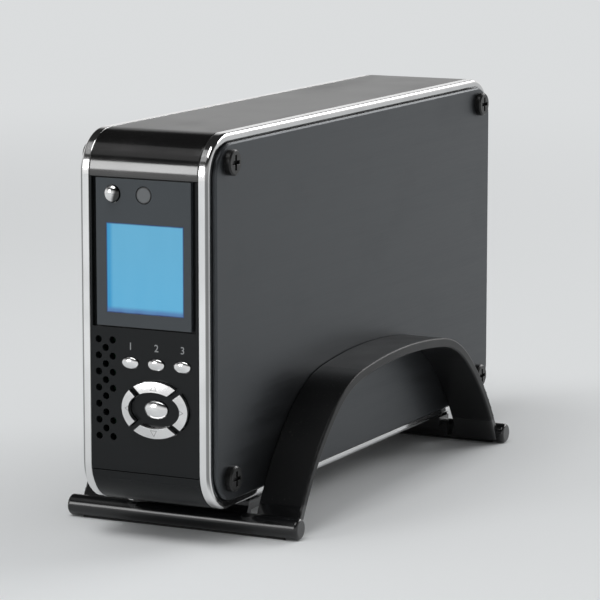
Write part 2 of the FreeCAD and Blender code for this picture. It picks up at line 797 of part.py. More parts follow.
def pad_keys():
    """The four curved keys, cut from one shallow dome so that their faces run on from key to key."""
    caps = pad_ring(0, pad_slit, front_reach - past, flange_y + flange_thickness / 2)
    flanges = pad_ring(button_flange, pad_slit - button_flange, flange_y, flange_y + flange_thickness)
    keys = {}
    for side, flange in flanges.items():
        name = "pad_%s_key" % side
        cap = crowned(caps[side], pad_x, pad_z, pad_outer_rx + pad_spread, pad_outer_rz + pad_spread,
                      pad_crown, pad_sunk)
        keys[name] = button(name, cap, flange)
    return keys


def front_board():
    """Circuit board behind the front panel, with the remote control's eye."""
    board = box(-front_board_width / 2, front_board_width / 2, front_board_y, front_board_y + board_thickness,
                front_board_bottom, front_board_top)
    holes = [rod_y(small_shank + hole_gap, front_board_y - past, front_board_y + 2 * board_thickness, x, z)
             for x, z in front_bosses]
    half, eye_y = eye_size / 2, inner_front_y + eye_setback
    eye = box(ir_x - half, ir_x + half, eye_y, front_board_y, top_row_z - half, top_row_z + half)
    lens = rod_y(ir_lens_radius, inner_front_y - ir_lens_proud, eye_y + lap, ir_x, top_row_z)
    return fused([board.cut(Part.makeCompound(holes)), eye, lens])


def tact_switches():
    """Nine small square switches, each with a round well that a button's stem runs in."""
    half = switch_size / 2
    bodies = []
    for x, z in button_places.values():
        body = box(x - half, x + half, switch_y, front_board_y, z - half, z + half)
        bodies.append(body.cut(rod_y(stem_radius + stem_play, switch_y - past, switch_y + switch_well, x, z)))
    return Part.makeCompound(bodies)


def front_board_screws():
    return Part.makeCompound([small_screw(V(x, front_board_y + board_thickness, z), Y)
                              for x, z in front_bosses])


# ---------------------------------------------------------------- rear face
def jack_places(rows):
    return [(side * jack_pitch_x / 2, jack_top_z - row * jack_pitch_z) for row in rows for side in (1, -1)]


long_jacks = jack_places(range(3))
short_jacks = jack_places([3])
block_half_x = jack_pitch_x / 2 + block_margin


def jack_block(rows):
    """Black housing behind the rear panel that holds one or more rows of jacks."""
    high = jack_top_z - min(rows) * jack_pitch_z + block_margin
    low = jack_top_z - max(rows) * jack_pitch_z - block_margin
    block = box(-block_half_x, block_half_x, inner_rear_y - block_depth, inner_rear_y, low, high)
    shells = [rod_y(jack_neck + fit_gap, jack_back_y, inner_rear_y + past, x, z)
              for x, z in jack_places(rows)]
    return block.cut(Part.makeCompound(shells + rear_screw_bores()))


def rear_screw_seats():
    return [V(rear_screw_x, rear_y - small_head_height + rear_head_proud, z) for z in rear_screw_z]


def rear_screw_bores():
    return [small_bore(seat, Y) for seat in rear_screw_seats()]


def rear_screws():
    return Part.makeCompound([small_screw(seat, Y) for seat in rear_screw_seats()])


def jack_sleeves():
    """Bright outer sleeves of the eight jacks."""
    sleeves = []
    for places, reach in ((long_jacks, jack_reach), (short_jacks, short_jack_reach)):
        for x, z in places:
            barrel = rod_y(jack_radius, jack_root_y, rear_y + reach, x, z)
            barrel = barrel.makeChamfer(jack_rim * rim_bevel, edges_at_y(barrel, rear_y + reach))
            sleeve = barrel.fuse(rod_y(jack_neck, jack_back_y, jack_root_y, x, z))
            sleeves.append(sleeve.cut(rod_y(jack_radius - jack_rim, jack_back_y - past,
                                            rear_y + reach + past, x, z)))
    return Part.makeCompound(sleeves)


def jack_core(place, reach):
    """Coloured insulator inside a sleeve, with the hole for the plug's pin."""
    x, z = place
    tip = rear_y + reach - jack_sink
    core = rod_y(jack_radius - jack_rim - fit_gap, jack_back_y, tip, x, z)
    return core.cut(rod_y(jack_hole, jack_back_y + core_floor, tip + past, x, z))


def jack_rings():
    """Bright raised rings round the six upper jacks, against the rear panel."""
    rings = []
    for x, z in long_jacks:
        ring = tube_y(ring_radius, jack_neck + fit_gap, rear_y, jack_root_y, x, z)
        ring = ring.cut(rod_y(ring_radius - ring_rim, rear_y + ring_floor, jack_root_y + past, x, z))
        rings.append(ring.makeChamfer(ring_rim * rim_bevel, edges_at_y(ring, jack_root_y)))
    return Part.makeCompound(rings)


def short_jack_collars():
    """Black moulded collars at the foot of the two lower jacks."""
    collars = [tube_y(ring_radius, jack_neck + fit_gap, rear_y, jack_root_y, x, z) for x, z in short_jacks]
    return [c.makeChamfer(band_edge, edges_at_y(c, jack_root_y)) for c in collars]


def round_socket(x, z, radius, plug_radius, core_radius, back, mouth_y):
    """A round multi-pin socket: outer wall, plug groove, and a core with four pin holes and a key."""
    body = rod_y(radius, back, mouth_y, x, z)
    floor_y = mouth_y - socket_depth
    body = body.cut(tube_y(plug_radius, core_radius, floor_y + groove_rise, mouth_y + past, x, z))
    pins = [rod_y(pin_hole_radius, floor_y, mouth_y + past,
                  x + pin_circle * cos(radians(a)), z + pin_circle * sin(radians(a))) for a in pin_angles]
    key_z = z - core_radius + key_wall
    key = box(x - key_width / 2, x + key_width / 2, floor_y, mouth_y + past, key_z, key_z + key_height)
    return body.cut(Part.makeCompound(pins + [key]))


def svideo_socket():
    return round_socket(svideo_x, svideo_z, svideo_radius, svideo_plug_radius, svideo_core_radius,
                        inner_rear_y - block_depth, rear_y + socket_proud)


def power_socket_core():
    return round_socket(power_in_x, power_in_z, power_in_radius, power_plug_radius, power_core_radius,
                        inner_rear_y - socket_depth, rear_y + socket_proud - socket_sunk)


def power_socket():
    """White square block round the power input."""
    half_x, half_z = power_in_width / 2, power_in_height / 2
    block = box(power_in_x - half_x, power_in_x + half_x, inner_rear_y - block_depth, rear_y + socket_proud,
                power_in_z - half_z, power_in_z + half_z)
    block = block.makeChamfer(block_edge, edges_at_y(block, rear_y + socket_proud))
    post_room = rod_x(post_radius + hole_gap, -band_x, band_x, screw_y, lower_screw_z)
    bore = rod_y(power_in_radius + fit_gap, inner_rear_y - socket_depth, rear_y + socket_proud + past,
                 power_in_x, power_in_z)
    return block.cut(post_room).cut(bore)


def usb_bar(inset, y0, y1):
    """The mini USB outline, standing on end: one long side and two tapered corners."""
    long_x = usb_x + usb_width / 2 - inset
    short_x = usb_x - usb_width / 2 + inset
    half = usb_height / 2 - inset
    points = [V(long_x, y0, usb_z - half), V(long_x, y0, usb_z + half),
              V(usb_x, y0, usb_z + half), V(short_x, y0, usb_z + half - usb_taper),
              V(short_x, y0, usb_z - half + usb_taper), V(usb_x, y0, usb_z - half)]
    return Part.Face(Part.makePolygon(points + points[:1])).extrude(V(0, y1 - y0, 0))


def usb_socket():
    """Folded metal shell with the contact tongue inside."""
    floor_y = inner_rear_y - socket_depth
    half_x, half_z = usb_tongue / 2, usb_height * usb_tongue_share / 2
    shell = usb_bar(0, inner_rear_y - block_depth, rear_y + usb_proud)
    shell = shell.cut(usb_bar(usb_shell, floor_y + usb_floor, rear_y + usb_proud + past))
    tongue_bar = box(usb_x - half_x, usb_x + half_x, floor_y, rear_y - usb_tongue_sunk,
                     usb_z - half_z, usb_z + half_z)
    return shell.fuse(tongue_bar)


def rear_vents():
    return [rod_y(rear_vent_radius, inner_rear_y - past, rear_y + past, side * rear_vent_x,
                  rear_vent_top - row * rear_vent_pitch)
            for side in (-1, 1) for row in range(rear_vent_count)]


def rear_panel():
    """Rear moulding with its sockets' openings and two columns of vent holes."""
    wall = slice_of_band(0, rear_y + past, lower_seam_z + seam / 2, upper_seam_z - seam / 2)
    through = (inner_rear_y - past, rear_y + past)
    cuts = [rod_y(jack_neck + fit_gap, *through, x, z) for x, z in long_jacks + short_jacks]
    cuts.append(rod_y(svideo_radius + fit_gap, *through, svideo_x, svideo_z))
    cuts.append(usb_bar(-opening_gap, *through))
    half_x, half_z = power_in_width / 2 + opening_gap, power_in_height / 2 + opening_gap
    cuts.append(box(power_in_x - half_x, power_in_x + half_x, *through,
                    power_in_z - half_z, power_in_z + half_z))
    cuts += rear_vents() + rear_screw_bores()
    cuts += [rod_y(small_head + opening_gap, seat.y, rear_y + past, seat.x, seat.z)
             for seat in rear_screw_seats()]
    wall = wall.cut(Part.makeCompound(cuts))
    return fused([wall] + short_jack_collars() + tongues(1))


def rear_board():
    """Circuit board that the jack housings and sockets are soldered to."""
    half = block_half_x + rear_board_margin
    return box(-half, half, rear_board_y, rear_board_y + board_thickness, rear_board_bottom, rear_board_top)


# ---------------------------------------------------------------- drive and tray
def drive_holes():
    """Seats of the four screws that hold the drive to the tray."""
    return [(drive_y + y, middle_z + side * drive_hole_z) for y in drive_hole_y for side in (-1, 1)]


def drive_tray():
    """Folded tray: a base with bent top and bottom flanges, vent slots and a gap for the ribbon."""
    half = tray_length / 2
    open_x = tray_back_x - tray_flange
    low, high = tray_low_z + tray_sheet, tray_high_z - tray_sheet
    outer = rounded_box(open_x - tray_bend - tray_sheet, tray_back_x, -half, half, tray_low_z, tray_high_z,
                        tray_bend + tray_sheet, Y)
    inner = rounded_box(open_x - 2 * tray_bend - tray_sheet, tray_face_x, -half - past, half + past,
                        low, high, tray_bend, Y)
    tray = outer.cut(inner).common(box(open_x, tray_back_x, -half, half, tray_low_z, tray_high_z))
    through = (tray_face_x - past, tray_back_x + past)
    reach = ribbon_width / 2 + ribbon_room
    cuts = [box(*through, -half - past, drive_front_y - ribbon_gap_y, middle_z - reach, middle_z + reach)]
    for column in (-1, 0, 1):
        for row in (-2, -1, 0, 1, 2):
            y, z = drive_y + column * vent_slot_step_y, middle_z + row * vent_slot_step_z
            cuts.append(rounded_box(*through, y - vent_slot_length / 2, y + vent_slot_length / 2,
                                    z - vent_slot_width / 2, z + vent_slot_width / 2,
                                    vent_slot_width / 2 - slot_flat, X))
    cuts += [rod_x(small_shank + hole_gap, *through, y, z) for y, z in drive_holes()]
    cuts += [rod(small_shank + hole_gap, seat + way * past, seat - way * (tray_sheet + past))
             for seat, way in tray_screw_places()]
    return tray.cut(Part.makeCompound(cuts))


def drive_casting():
    """The drive's cast base, with a pocket for its circuit board and blind screw holes."""
    body = rounded_box(drive_lid_x + lid_thickness, drive_face_x, drive_front_y, drive_rear_y,
                       drive_low_z, drive_high_z, casting_corner, X)
    body = body.makeChamfer(casting_edge, edges_at_x(body, drive_face_x))
    floor_x = drive_face_x - drive_board_pocket
    pocket = box(floor_x, drive_face_x + past, drive_front_y - past, drive_front_y + drive_board_length,
                 drive_low_z + pocket_margin, drive_high_z - pocket_margin)
    hub = rod_x(hub_radius, floor_x - lap, drive_face_x - hub_sunk, drive_y + hub_y, middle_z)
    step = box(drive_lid_x, drive_lid_x + step_depth, drive_rear_y - step_length, drive_rear_y + past,
               drive_low_z - past, drive_low_z + step_height)
    bores = [small_bore(V(tray_back_x, y, z), X) for y, z in drive_holes()]
    return body.cut(pocket).fuse(hub).cut(step).cut(Part.makeCompound(bores)).removeSplitter()


def drive_lid():
    """Pressed lid with a raised round over the platters."""
    plate = rounded_box(drive_lid_x, drive_lid_x + lid_thickness, drive_front_y + lid_inset,
                        drive_rear_y - lid_short, drive_low_z + lid_inset, drive_high_z - lid_inset,
                        lid_corner, X)
    depth = (drive_lid_x - past, drive_lid_x + lid_groove_depth)
    place = (drive_y + lid_groove_y, middle_z)
    groove = rod_x(lid_groove_radius, *depth, *place)
    return plate.cut(groove.cut(rod_x(lid_groove_radius - lid_groove_width, *depth, *place)))


def drive_board():
    """The drive's own circuit board with its connector row."""
    x1 = drive_face_x - drive_board_sunk
    x0 = x1 - board_thickness
    margin = pocket_margin + drive_board_gap
    board = box(x0, x1, drive_front_y, drive_front_y + drive_board_length - bare_board,
                drive_low_z + margin, drive_high_z - margin)
    row = box(x0 - header_lift, drive_face_x, drive_front_y, drive_front_y + header_depth,
              middle_z - header_reach, middle_z + header_reach)
    return board.fuse(row)


def drive_screws():
    return Part.makeCompound([small_screw(V(tray_back_x, y, z), X) for y, z in drive_holes()])


def tray_screws():
    return Part.makeCompound([small_screw(*place) for place in tray_screw_places()])


# ---------------------------------------------------------------- main board
def board_corners():
    """Middles of the main board's four fixing holes."""
    reach_y = board_length / 2 - board_hole_inset
    reach_z = board_height / 2 - board_hole_inset
    return [(board_y + a * reach_y, middle_z + b * reach_z) for a in (-1, 1) for b in (-1, 1)]


def main_board():
    board = box(board_x, board_face_x, board_y - board_length / 2, board_y + board_length / 2,
                middle_z - board_height / 2, middle_z + board_height / 2)
    holes = [rod_x(small_shank + hole_gap, board_x - past, board_face_x + past, y, z)
             for y, z in board_corners()]
    return board.cut(Part.makeCompound(holes))


def board_standoffs():
    pillars = [rod_x(standoff_radius, tray_back_x, board_x, y, z) for y, z in board_corners()]
    bores = [small_bore(V(board_face_x, y, z), X, board_thickness + standoff_height)
             for y, z in board_corners()]
    return Part.makeCompound([p.cut(b) for p, b in zip(pillars, bores)])


def board_screws():
    return Part.makeCompound([small_screw(V(board_face_x, y, z), X, standoff_height)
                              for y, z in board_corners()])


def heat_sink():
    """Finned heat sink on the main chip."""
    half, root, tip = sink_size / 2, board_face_x + sink_base, board_face_x + sink_height
    y, z = board_y + sink_y, middle_z + sink_z
    pitch = (sink_size - fin_thickness) / (fin_count - 1)
    base = box(board_face_x, root, y - half, y + half, z - half, z + half)
    edges = [z - half + i * pitch for i in range(fin_count)]
    fins = [box(root - lap, tip, y - half, y + half, edge, edge + fin_thickness) for edge in edges]
    return fused([base] + fins)


header_y = board_y - board_length / 2
header_x = board_face_x + header_height / 2
drive_plug_x = header_x - 2 * ribbon_turn - 2 * ribbon_sheet


def board_parts():
    """Memory chips, capacitors and the two headers on the main board."""
    x, half = board_face_x, chip_size / 2
    parts = [box(x, x + chip_height, board_y + chip_y - half, board_y + chip_y + half,
                 middle_z + z - half, middle_z + z + half) for z in chip_z]
    parts += [rod_x(can_radius, x, x + can_height, board_y + can_y, middle_z + z) for z in can_z]
    parts.append(box(x, x + header_height, header_y, header_y + header_depth,
                     middle_z - header_reach, middle_z + header_reach))
    parts.append(box(x, x + plug_row_height, *(board_y + y for y in plug_row_y),
                     *(middle_z + z for z in plug_row_z)))
    return Part.makeCompound(parts)


def ribbon_plugs():
    """Plugs at the two ends of the ribbon: one on the drive, one on the main board."""
    reach, half = ribbon_width / 2 + plug_side, plug_thickness / 2
    board_plug = box(header_x - half, header_x + half, header_y - plug_length, header_y,
                     middle_z - reach, middle_z + reach)
    drive_plug = box(drive_plug_x - half, drive_face_x - plug_play, drive_front_y - plug_length,
                     drive_front_y, middle_z - reach, middle_z + reach)
    return Part.makeCompound([board_plug, drive_plug])


def ribbon_cable():
    """Flat ribbon that leaves the drive's plug, turns back on itself and enters the board's plug."""
    y = header_y - plug_length
    x0, x1 = drive_plug_x - ribbon_sheet / 2, header_x + ribbon_sheet / 2
    turn = V((x0 + x1) / 2, y, 0)

    def half_turn(radius):
        return Part.Arc(turn - X * radius, turn - Y * radius, turn + X * radius).toShape()

    outer, inner = (x1 - x0) / 2, (x1 - x0) / 2 - ribbon_sheet
    ends = [Part.makeLine(turn + X * side * inner, turn + X * side * outer) for side in (-1, 1)]
    outline = Part.Wire(Part.__sortEdges__([half_turn(outer), half_turn(inner)] + ends))
    strip = Part.Face(outline).extrude(V(0, 0, ribbon_width))
    strip.translate(V(0, 0, middle_z - ribbon_width / 2))
    return strip


# ---------------------------------------------------------------- save every piece
def save(node, shape):
    """Write one sub-part in the finished frame."""
    placed = shape.copy()
    placed.translate(origin_shift)
    solids = placed.Solids
    placed = solids[0] if len(solids) == 1 else Part.makeCompound(solids)
    placed.exportStep("parts/%s.step" % node)


def pieces():
    """Every sub-part by name."""
    parts = {
        "stand_arch": stand_arch(), "rail_grips": rail_grips(), "seat_pads": seat_pads(),
        "top_cover": top_cover(), "bottom_cover": bottom_cover(),
        "front_panel": front_panel(), "rear_panel": rear_panel(),
        "window_lens": window_lens(), "display_pane": display_pane(), "ir_window": ir_window(),
        "display_module": display_module(), "front_board": front_board(),
        "tact_switches": tact_switches(), "front_board_screws": front_board_screws(),
        "power_button": power_button(),
        "pad_centre_key": elliptic_button("pad_centre_key", key_rx, key_rz, key_dome),
        "upper_jack_block": jack_block(range(3)), "lower_jack_block": jack_block([3]),
        "jack_sleeves": jack_sleeves(), "jack_rings": jack_rings(),
        "svideo_socket": svideo_socket(), "usb_socket": usb_socket(), "power_socket": power_socket(),
        "power_socket_core": power_socket_core(), "rear_screws": rear_screws(), "rear_board": rear_board(),
        "drive_tray": drive_tray(), "drive_casting": drive_casting(), "drive_lid": drive_lid(),
        "drive_board": drive_board(), "drive_screws": drive_screws(), "tray_screws": tray_screws(),
        "main_board": main_board(), "board_standoffs": board_standoffs(), "board_screws": board_screws(),
        "heat_sink": heat_sink(), "board_parts": board_parts(), "ribbon_plugs": ribbon_plugs(),
        "ribbon_cable": ribbon_cable(),
        "panel_screws": panel_screws(),
    }
    parts.update(pad_keys())
    parts.update({name: elliptic_button(name, oval_rx, oval_rz, oval_dome) for name in oval_names})
    trim, panel = right_trim(), right_panel()
    parts["left_trim"], parts["right_trim"] = trim.mirror(V(0, 0, 0), X), trim
    parts["left_side_panel"], parts["right_side_panel"] = panel.mirror(V(0, 0, 0), X), panel
    colours = {"white": long_jacks[2], "yellow": long_jacks[4], "blue": long_jacks[3], "green": long_jacks[5]}
    parts["jack_core_red"] = Part.makeCompound([jack_core(p, jack_reach) for p in long_jacks[:2]])
    for colour, place in colours.items():
        parts["jack_core_" + colour] = jack_core(place, jack_reach)
    for colour, place in zip(("purple", "black"), short_jacks):
        parts["jack_core_" + colour] = jack_core(place, short_jack_reach)
    return parts


def main():
    os.makedirs("parts", exist_ok=True)
    for node, shape in pieces().items():
        save(node, shape)


main()
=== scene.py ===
"""Finishes, small details, light and camera for a slim upright media player on its arched stand.

The CAD nodes keep their shapes.  Each one gets a procedural material here, and the three printed
figures over the oval buttons are added as thin sheets.  Lengths are in metres, X across the case,
-Y the front face, Z up from the table.
"""

import math

import bpy
import numpy as np
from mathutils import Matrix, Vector


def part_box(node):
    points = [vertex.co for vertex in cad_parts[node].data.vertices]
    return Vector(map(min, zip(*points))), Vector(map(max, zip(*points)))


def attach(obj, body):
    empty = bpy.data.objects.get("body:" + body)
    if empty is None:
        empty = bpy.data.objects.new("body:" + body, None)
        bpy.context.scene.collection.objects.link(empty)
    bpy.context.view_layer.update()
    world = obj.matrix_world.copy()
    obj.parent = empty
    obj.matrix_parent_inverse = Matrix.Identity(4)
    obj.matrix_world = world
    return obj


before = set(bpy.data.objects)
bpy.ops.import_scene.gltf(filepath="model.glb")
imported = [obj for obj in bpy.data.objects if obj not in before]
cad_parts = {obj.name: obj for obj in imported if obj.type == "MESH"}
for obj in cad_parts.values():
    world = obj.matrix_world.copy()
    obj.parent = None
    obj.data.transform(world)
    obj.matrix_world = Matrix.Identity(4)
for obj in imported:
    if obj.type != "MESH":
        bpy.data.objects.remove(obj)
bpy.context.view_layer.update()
MM = 0.001


# ---------------------------------------------------------------- node helpers
MIX_INPUTS, MIX_OUTPUT = (0, 6, 7), 2  # a colour mix node's factor, first and second colour, and result


class Nodes:
    """A short way to add nodes to one tree and join them."""

    def __init__(self, tree):
        self.tree = tree

    def add(self, kind, settings=None, **inputs):
        """Make a node; in an input's name an underscore stands for a space."""
        node = self.tree.nodes.new(kind)
        for key, value in (settings or {}).items():
            setattr(node, key, value)
        for key, value in inputs.items():
            self.set(node, key.replace("_", " "), value)
        return node

    def set(self, node, key, value):
        """Give an input a value, or join it to another node's output."""
        socket = node.inputs[key]
        if isinstance(value, bpy.types.NodeSocket):
            self.tree.links.new(value, socket)
        else:
            socket.default_value = value

    def math(self, operation, a, b=0.0, clamp=False):
        """Do sums on two values."""
        node = self.add("ShaderNodeMath", {"operation": operation, "use_clamp": clamp})
        self.set(node, 0, a)
        self.set(node, 1, b)
        return node.outputs[0]

    def vectors(self, operation, a, b=(0.0, 0.0, 0.0)):
        """Do sums on two vectors: the result is under Vector, or under Value where it is a number."""
        node = self.add("ShaderNodeVectorMath", {"operation": operation})
        self.set(node, 0, a)
        self.set(node, 1, b)
        return node.outputs

    def noise(self, vector, scale, detail=2.0, roughness=0.5):
        """A noise texture's value, around a half."""
        node = self.add("ShaderNodeTexNoise", Vector=vector, Scale=scale, Detail=detail,
                        Roughness=roughness)
        return node.outputs["Fac"]

    def band(self, value, low, high, out_low=0.0, out_high=1.0):
        """Map a range of values smoothly to another range, clamped at both ends."""
        node = self.add("ShaderNodeMapRange", {"interpolation_type": "SMOOTHSTEP"}, Value=value)
        ends = {"From Min": low, "From Max": high, "To Min": out_low, "To Max": out_high}
        for key, end in ends.items():
            self.set(node, key, end)
        return node.outputs[0]

    def mix(self, factor, a, b):
        """Mix two colours."""
        node = self.add("ShaderNodeMix", {"data_type": "RGBA"})
        for socket, value in zip(MIX_INPUTS, (factor, a, b)):
            self.set(node, socket, value)
        return node.outputs[MIX_OUTPUT]

    def place(self):
        """Object coordinates, which are the frame's own, in metres."""
        return self.add("ShaderNodeTexCoord").outputs["Object"]

    def split(self, vector):
        """The X, Y and Z parts of a vector."""
        return self.add("ShaderNodeSeparateXYZ", Vector=vector).outputs

    def normal(self):
        """The surface's own normal."""
        return self.add("ShaderNodeNewGeometry").outputs["Normal"]

    def stretch(self, vector, scale, centre=(0.0, 0.0, 0.0)):
        """Object coordinates centred on a point and stretched along the axes."""
        shift = tuple(-c * s for c, s in zip(centre, scale))
        return self.add("ShaderNodeMapping", Vector=vector, Location=shift, Scale=scale).outputs[0]


def effect(name, inputs, outputs):
    """An empty node group with named number inputs and outputs: returns it with its in and out nodes."""
    group = bpy.data.node_groups.new(name, "ShaderNodeTree")
    for key, kind, default in inputs:
        socket = group.interface.new_socket(name=key, in_out="INPUT", socket_type=kind)
        if default is not None:
            socket.default_value = default
    for key, kind in outputs:
        group.interface.new_socket(name=key, in_out="OUTPUT", socket_type=kind)
    nodes = Nodes(group)
    return group, nodes, nodes.add("NodeGroupInput"), nodes.add("NodeGroupOutput")


FLOAT, VECTOR = "NodeSocketFloat", "NodeSocketVector"
RIPPLE, GRAIN = 90.0, 2500.0           # noise scales: their features are about 1 / scale metres apart
SPECKS, DRIFTS, SMEARS = 1400.0, 60.0, 45.0
STREAKS, BROAD_STREAKS = 2600.0, 260.0
WEAR_PATCHES = 700.0


def make_skin():
    """Moulded skin: slow ripples left by the tool, and a fine grain on top of them."""
    group, n, given, out = effect("moulded_skin", [("Ripple", FLOAT, RIPPLE), ("Grain", FLOAT, GRAIN),
                                                   ("Grain Share", FLOAT, 0.3)],
                                  [("Height", FLOAT), ("Change", FLOAT)])
    ripple = n.noise(n.place(), given.outputs["Ripple"], detail=1.0)
    grain = n.noise(n.place(), given.outputs["Grain"])
    share = n.math("MULTIPLY", grain, given.outputs["Grain Share"])
    n.set(out, "Height", n.math("ADD", ripple, share))
    n.set(out, "Change", n.band(ripple, 0.3, 0.7, -1.0, 1.0))
    return group


def make_dust():
    """Dust: fine specks, denser where the surface faces up, with fainter smears of handling."""
    group, n, given, out = effect("dust", [("Amount", FLOAT, 0.1), ("Speck Scale", FLOAT, SPECKS)],
                                  [("Mask", FLOAT), ("Smear", FLOAT)])
    specks = n.band(n.noise(n.place(), given.outputs["Speck Scale"], detail=1.0), 0.66, 0.74)
    drifts = n.band(n.noise(n.place(), DRIFTS, detail=3.0), 0.35, 0.75)
    upward = n.band(n.split(n.normal())["Z"], 0.2, 1.0, out_low=0.12)
    amount = n.math("MULTIPLY", upward, given.outputs["Amount"])
    n.set(out, "Mask", n.math("MULTIPLY", n.math("MULTIPLY", specks, drifts), amount))
    wiped = n.stretch(n.place(), (1.0, 0.5, 0.7))
    n.set(out, "Smear", n.band(n.noise(wiped, SMEARS, detail=4.0, roughness=0.6), 0.5, 0.75))
    return group


def make_brush():
    """Brushed metal: long streaks along Y, drawn by squeezing a noise across them."""
    group, n, given, out = effect("brushed", [("Streaks", FLOAT, STREAKS), ("Length", FLOAT, 0.02)],
                                  [("Height", FLOAT), ("Change", FLOAT)])
    scale = n.add("ShaderNodeCombineXYZ", X=1.0, Y=given.outputs["Length"], Z=1.0).outputs[0]
    squeezed = n.vectors("MULTIPLY", n.place(), scale)["Vector"]
    streak = n.noise(squeezed, given.outputs["Streaks"], detail=3.0, roughness=0.65)
    broad = n.noise(squeezed, BROAD_STREAKS)
    n.set(out, "Height", streak)
    fine, coarse = n.band(streak, 0.3, 0.7, -0.6, 0.6), n.band(broad, 0.3, 0.7, -0.4, 0.4)
    n.set(out, "Change", n.math("ADD", fine, coarse))
    return group


def make_edge():
    """Worn edges: where a rounded normal turns away from the face's own, broken up by noise."""
    group, n, given, out = effect("edge_wear", [("Rounded", VECTOR, None), ("Amount", FLOAT, 0.5)],
                                  [("Mask", FLOAT)])
    agreement = n.vectors("DOT_PRODUCT", given.outputs["Rounded"], n.normal())["Value"]
    turned = n.band(agreement, 0.995, 0.8)
    patchy = n.band(n.noise(n.place(), WEAR_PATCHES, detail=3.0), 0.45, 0.62)
    n.set(out, "Mask", n.math("MULTIPLY", n.math("MULTIPLY", turned, patchy), given.outputs["Amount"]))
    return group


EFFECTS = {"skin": make_skin(), "dust": make_dust(), "brush": make_brush(), "edge": make_edge()}


def new_material(name):
    """An empty Principled material: returns it, its node helper and its shader."""
    material = bpy.data.materials.new(name)
    material.use_nodes = True
    material.node_tree.nodes.clear()
    n = Nodes(material.node_tree)
    shader = n.add("ShaderNodeBsdfPrincipled")
    n.add("ShaderNodeOutputMaterial", Surface=shader.outputs[0])
    return material, n, shader


def place_effect(n, name, **values):
    """Use one of the shared effects: returns its outputs."""
    node = n.add("ShaderNodeGroup", {"node_tree": EFFECTS[name]})
    for key, value in values.items():
        n.set(node, key.replace("_", " "), value)
    return node.outputs


def grey(value, tint=(1.0, 1.0, 1.0)):
    """A grey, leaned towards a tint, as a colour with its alpha."""
    return (value * tint[0], value * tint[1], value * tint[2], 1.0)


def rounded_normal(n, radius):
    """The normal with every sharp edge eased over a small radius."""
    return n.add("ShaderNodeBevel", {"samples": 4}, Radius=radius).outputs[0]


def bump(n, shader, height, distance, strength, normal=None):
    """Raise a height pattern on the shader's surface, on top of a given normal."""
    node = n.add("ShaderNodeBump", Height=height, Distance=distance, Strength=strength)
    if normal is not None:
        n.set(node, "Normal", normal)
    n.set(shader, "Normal", node.outputs[0])


DUST_ON_PLASTIC, DUST_ON_METAL = grey(0.42, (1.0, 0.98, 0.95)), grey(0.4)
DUST_ROUGHNESS = 0.4                   # added where a speck lies
SMEAR_ON_PLASTIC, SMEAR_ON_METAL = 0.04, 0.05      # roughness added by smears
SKIN_STRENGTH, METAL_STRENGTH = 0.6, 0.5           # of the bump


def worn(colour, gain, tone):
    """The lighter colour of a worn edge."""
    return tuple(min(1.0, c * gain + tone) for c in colour[:3]) + (1.0,)


def plastic(name, colour, roughness, specular=0.5, ripple=RIPPLE, depth=0.004, dust=0.1, wear=0.15,
            ease=0.15, change=0.03, paint=None):
    """Moulded plastic: skin ripples and grain, a little dust, and slightly polished edges.

    depth is the height of the ripples and ease the rounding of the edges, both in millimetres, and
    change is how far the roughness varies.  paint, where given, takes the node helper and the base
    colour and returns the printed colour.
    """
    material, n, shader = new_material(name)
    skin = place_effect(n, "skin", Ripple=ripple)
    dusty = place_effect(n, "dust", Amount=dust)
    rounded = rounded_normal(n, ease * MM)
    edge = place_effect(n, "edge", Rounded=rounded, Amount=wear)
    printed = colour if paint is None else paint(n, colour)
    body = n.mix(edge["Mask"], printed, worn(colour, gain=1.35, tone=0.03))
    n.set(shader, "Base Color", n.mix(dusty["Mask"], body, DUST_ON_PLASTIC))
    varied = n.math("ADD", n.math("MULTIPLY", skin["Change"], change), roughness)
    varied = n.math("ADD", varied, n.math("MULTIPLY", dusty["Smear"], SMEAR_ON_PLASTIC))
    speckled = n.math("MULTIPLY", dusty["Mask"], DUST_ROUGHNESS)
    n.set(shader, "Roughness", n.math("ADD", varied, speckled, clamp=True))
    n.set(shader, "Specular IOR Level", specular)
    bump(n, shader, skin["Height"], depth * MM, SKIN_STRENGTH, rounded)
    return material


def metal(name, colour, roughness, brushed=True, streaks=STREAKS, length=0.02, depth=0.003, dust=0.05,
          wear=0.2, ease=0.12, metallic=1.0, change=0.06, paint=None):
    """Bare or plated metal: brushed streaks or a cast skin, faint dust and brighter edges.

    streaks is the scale of the streaks, or of the skin's ripples, and length how far the streaks are
    squeezed.  depth, ease, change and paint are as for plastic.
    """
    material, n, shader = new_material(name)
    if brushed:
        surface = place_effect(n, "brush", Streaks=streaks, Length=length)
    else:
        surface = place_effect(n, "skin", Ripple=streaks)
    dusty = place_effect(n, "dust", Amount=dust)
    rounded = rounded_normal(n, ease * MM)
    edge = place_effect(n, "edge", Rounded=rounded, Amount=wear)
    darker = tuple(c * 0.9 for c in colour[:3]) + (1.0,)
    toned = n.mix(n.band(surface["Change"], -1.0, 1.0), darker, colour)
    printed = toned if paint is None else paint(n, toned)
    body = n.mix(edge["Mask"], printed, worn(colour, gain=1.3, tone=0.05))
    n.set(shader, "Base Color", n.mix(dusty["Mask"], body, DUST_ON_METAL))
    n.set(shader, "Metallic", metallic)
    varied = n.math("ADD", n.math("MULTIPLY", surface["Change"], change), roughness)
    smeared = n.math("MULTIPLY", dusty["Smear"], SMEAR_ON_METAL)
    n.set(shader, "Roughness", n.math("ADD", varied, smeared, clamp=True))
    bump(n, shader, surface["Height"], depth * MM, METAL_STRENGTH, rounded)
    return material


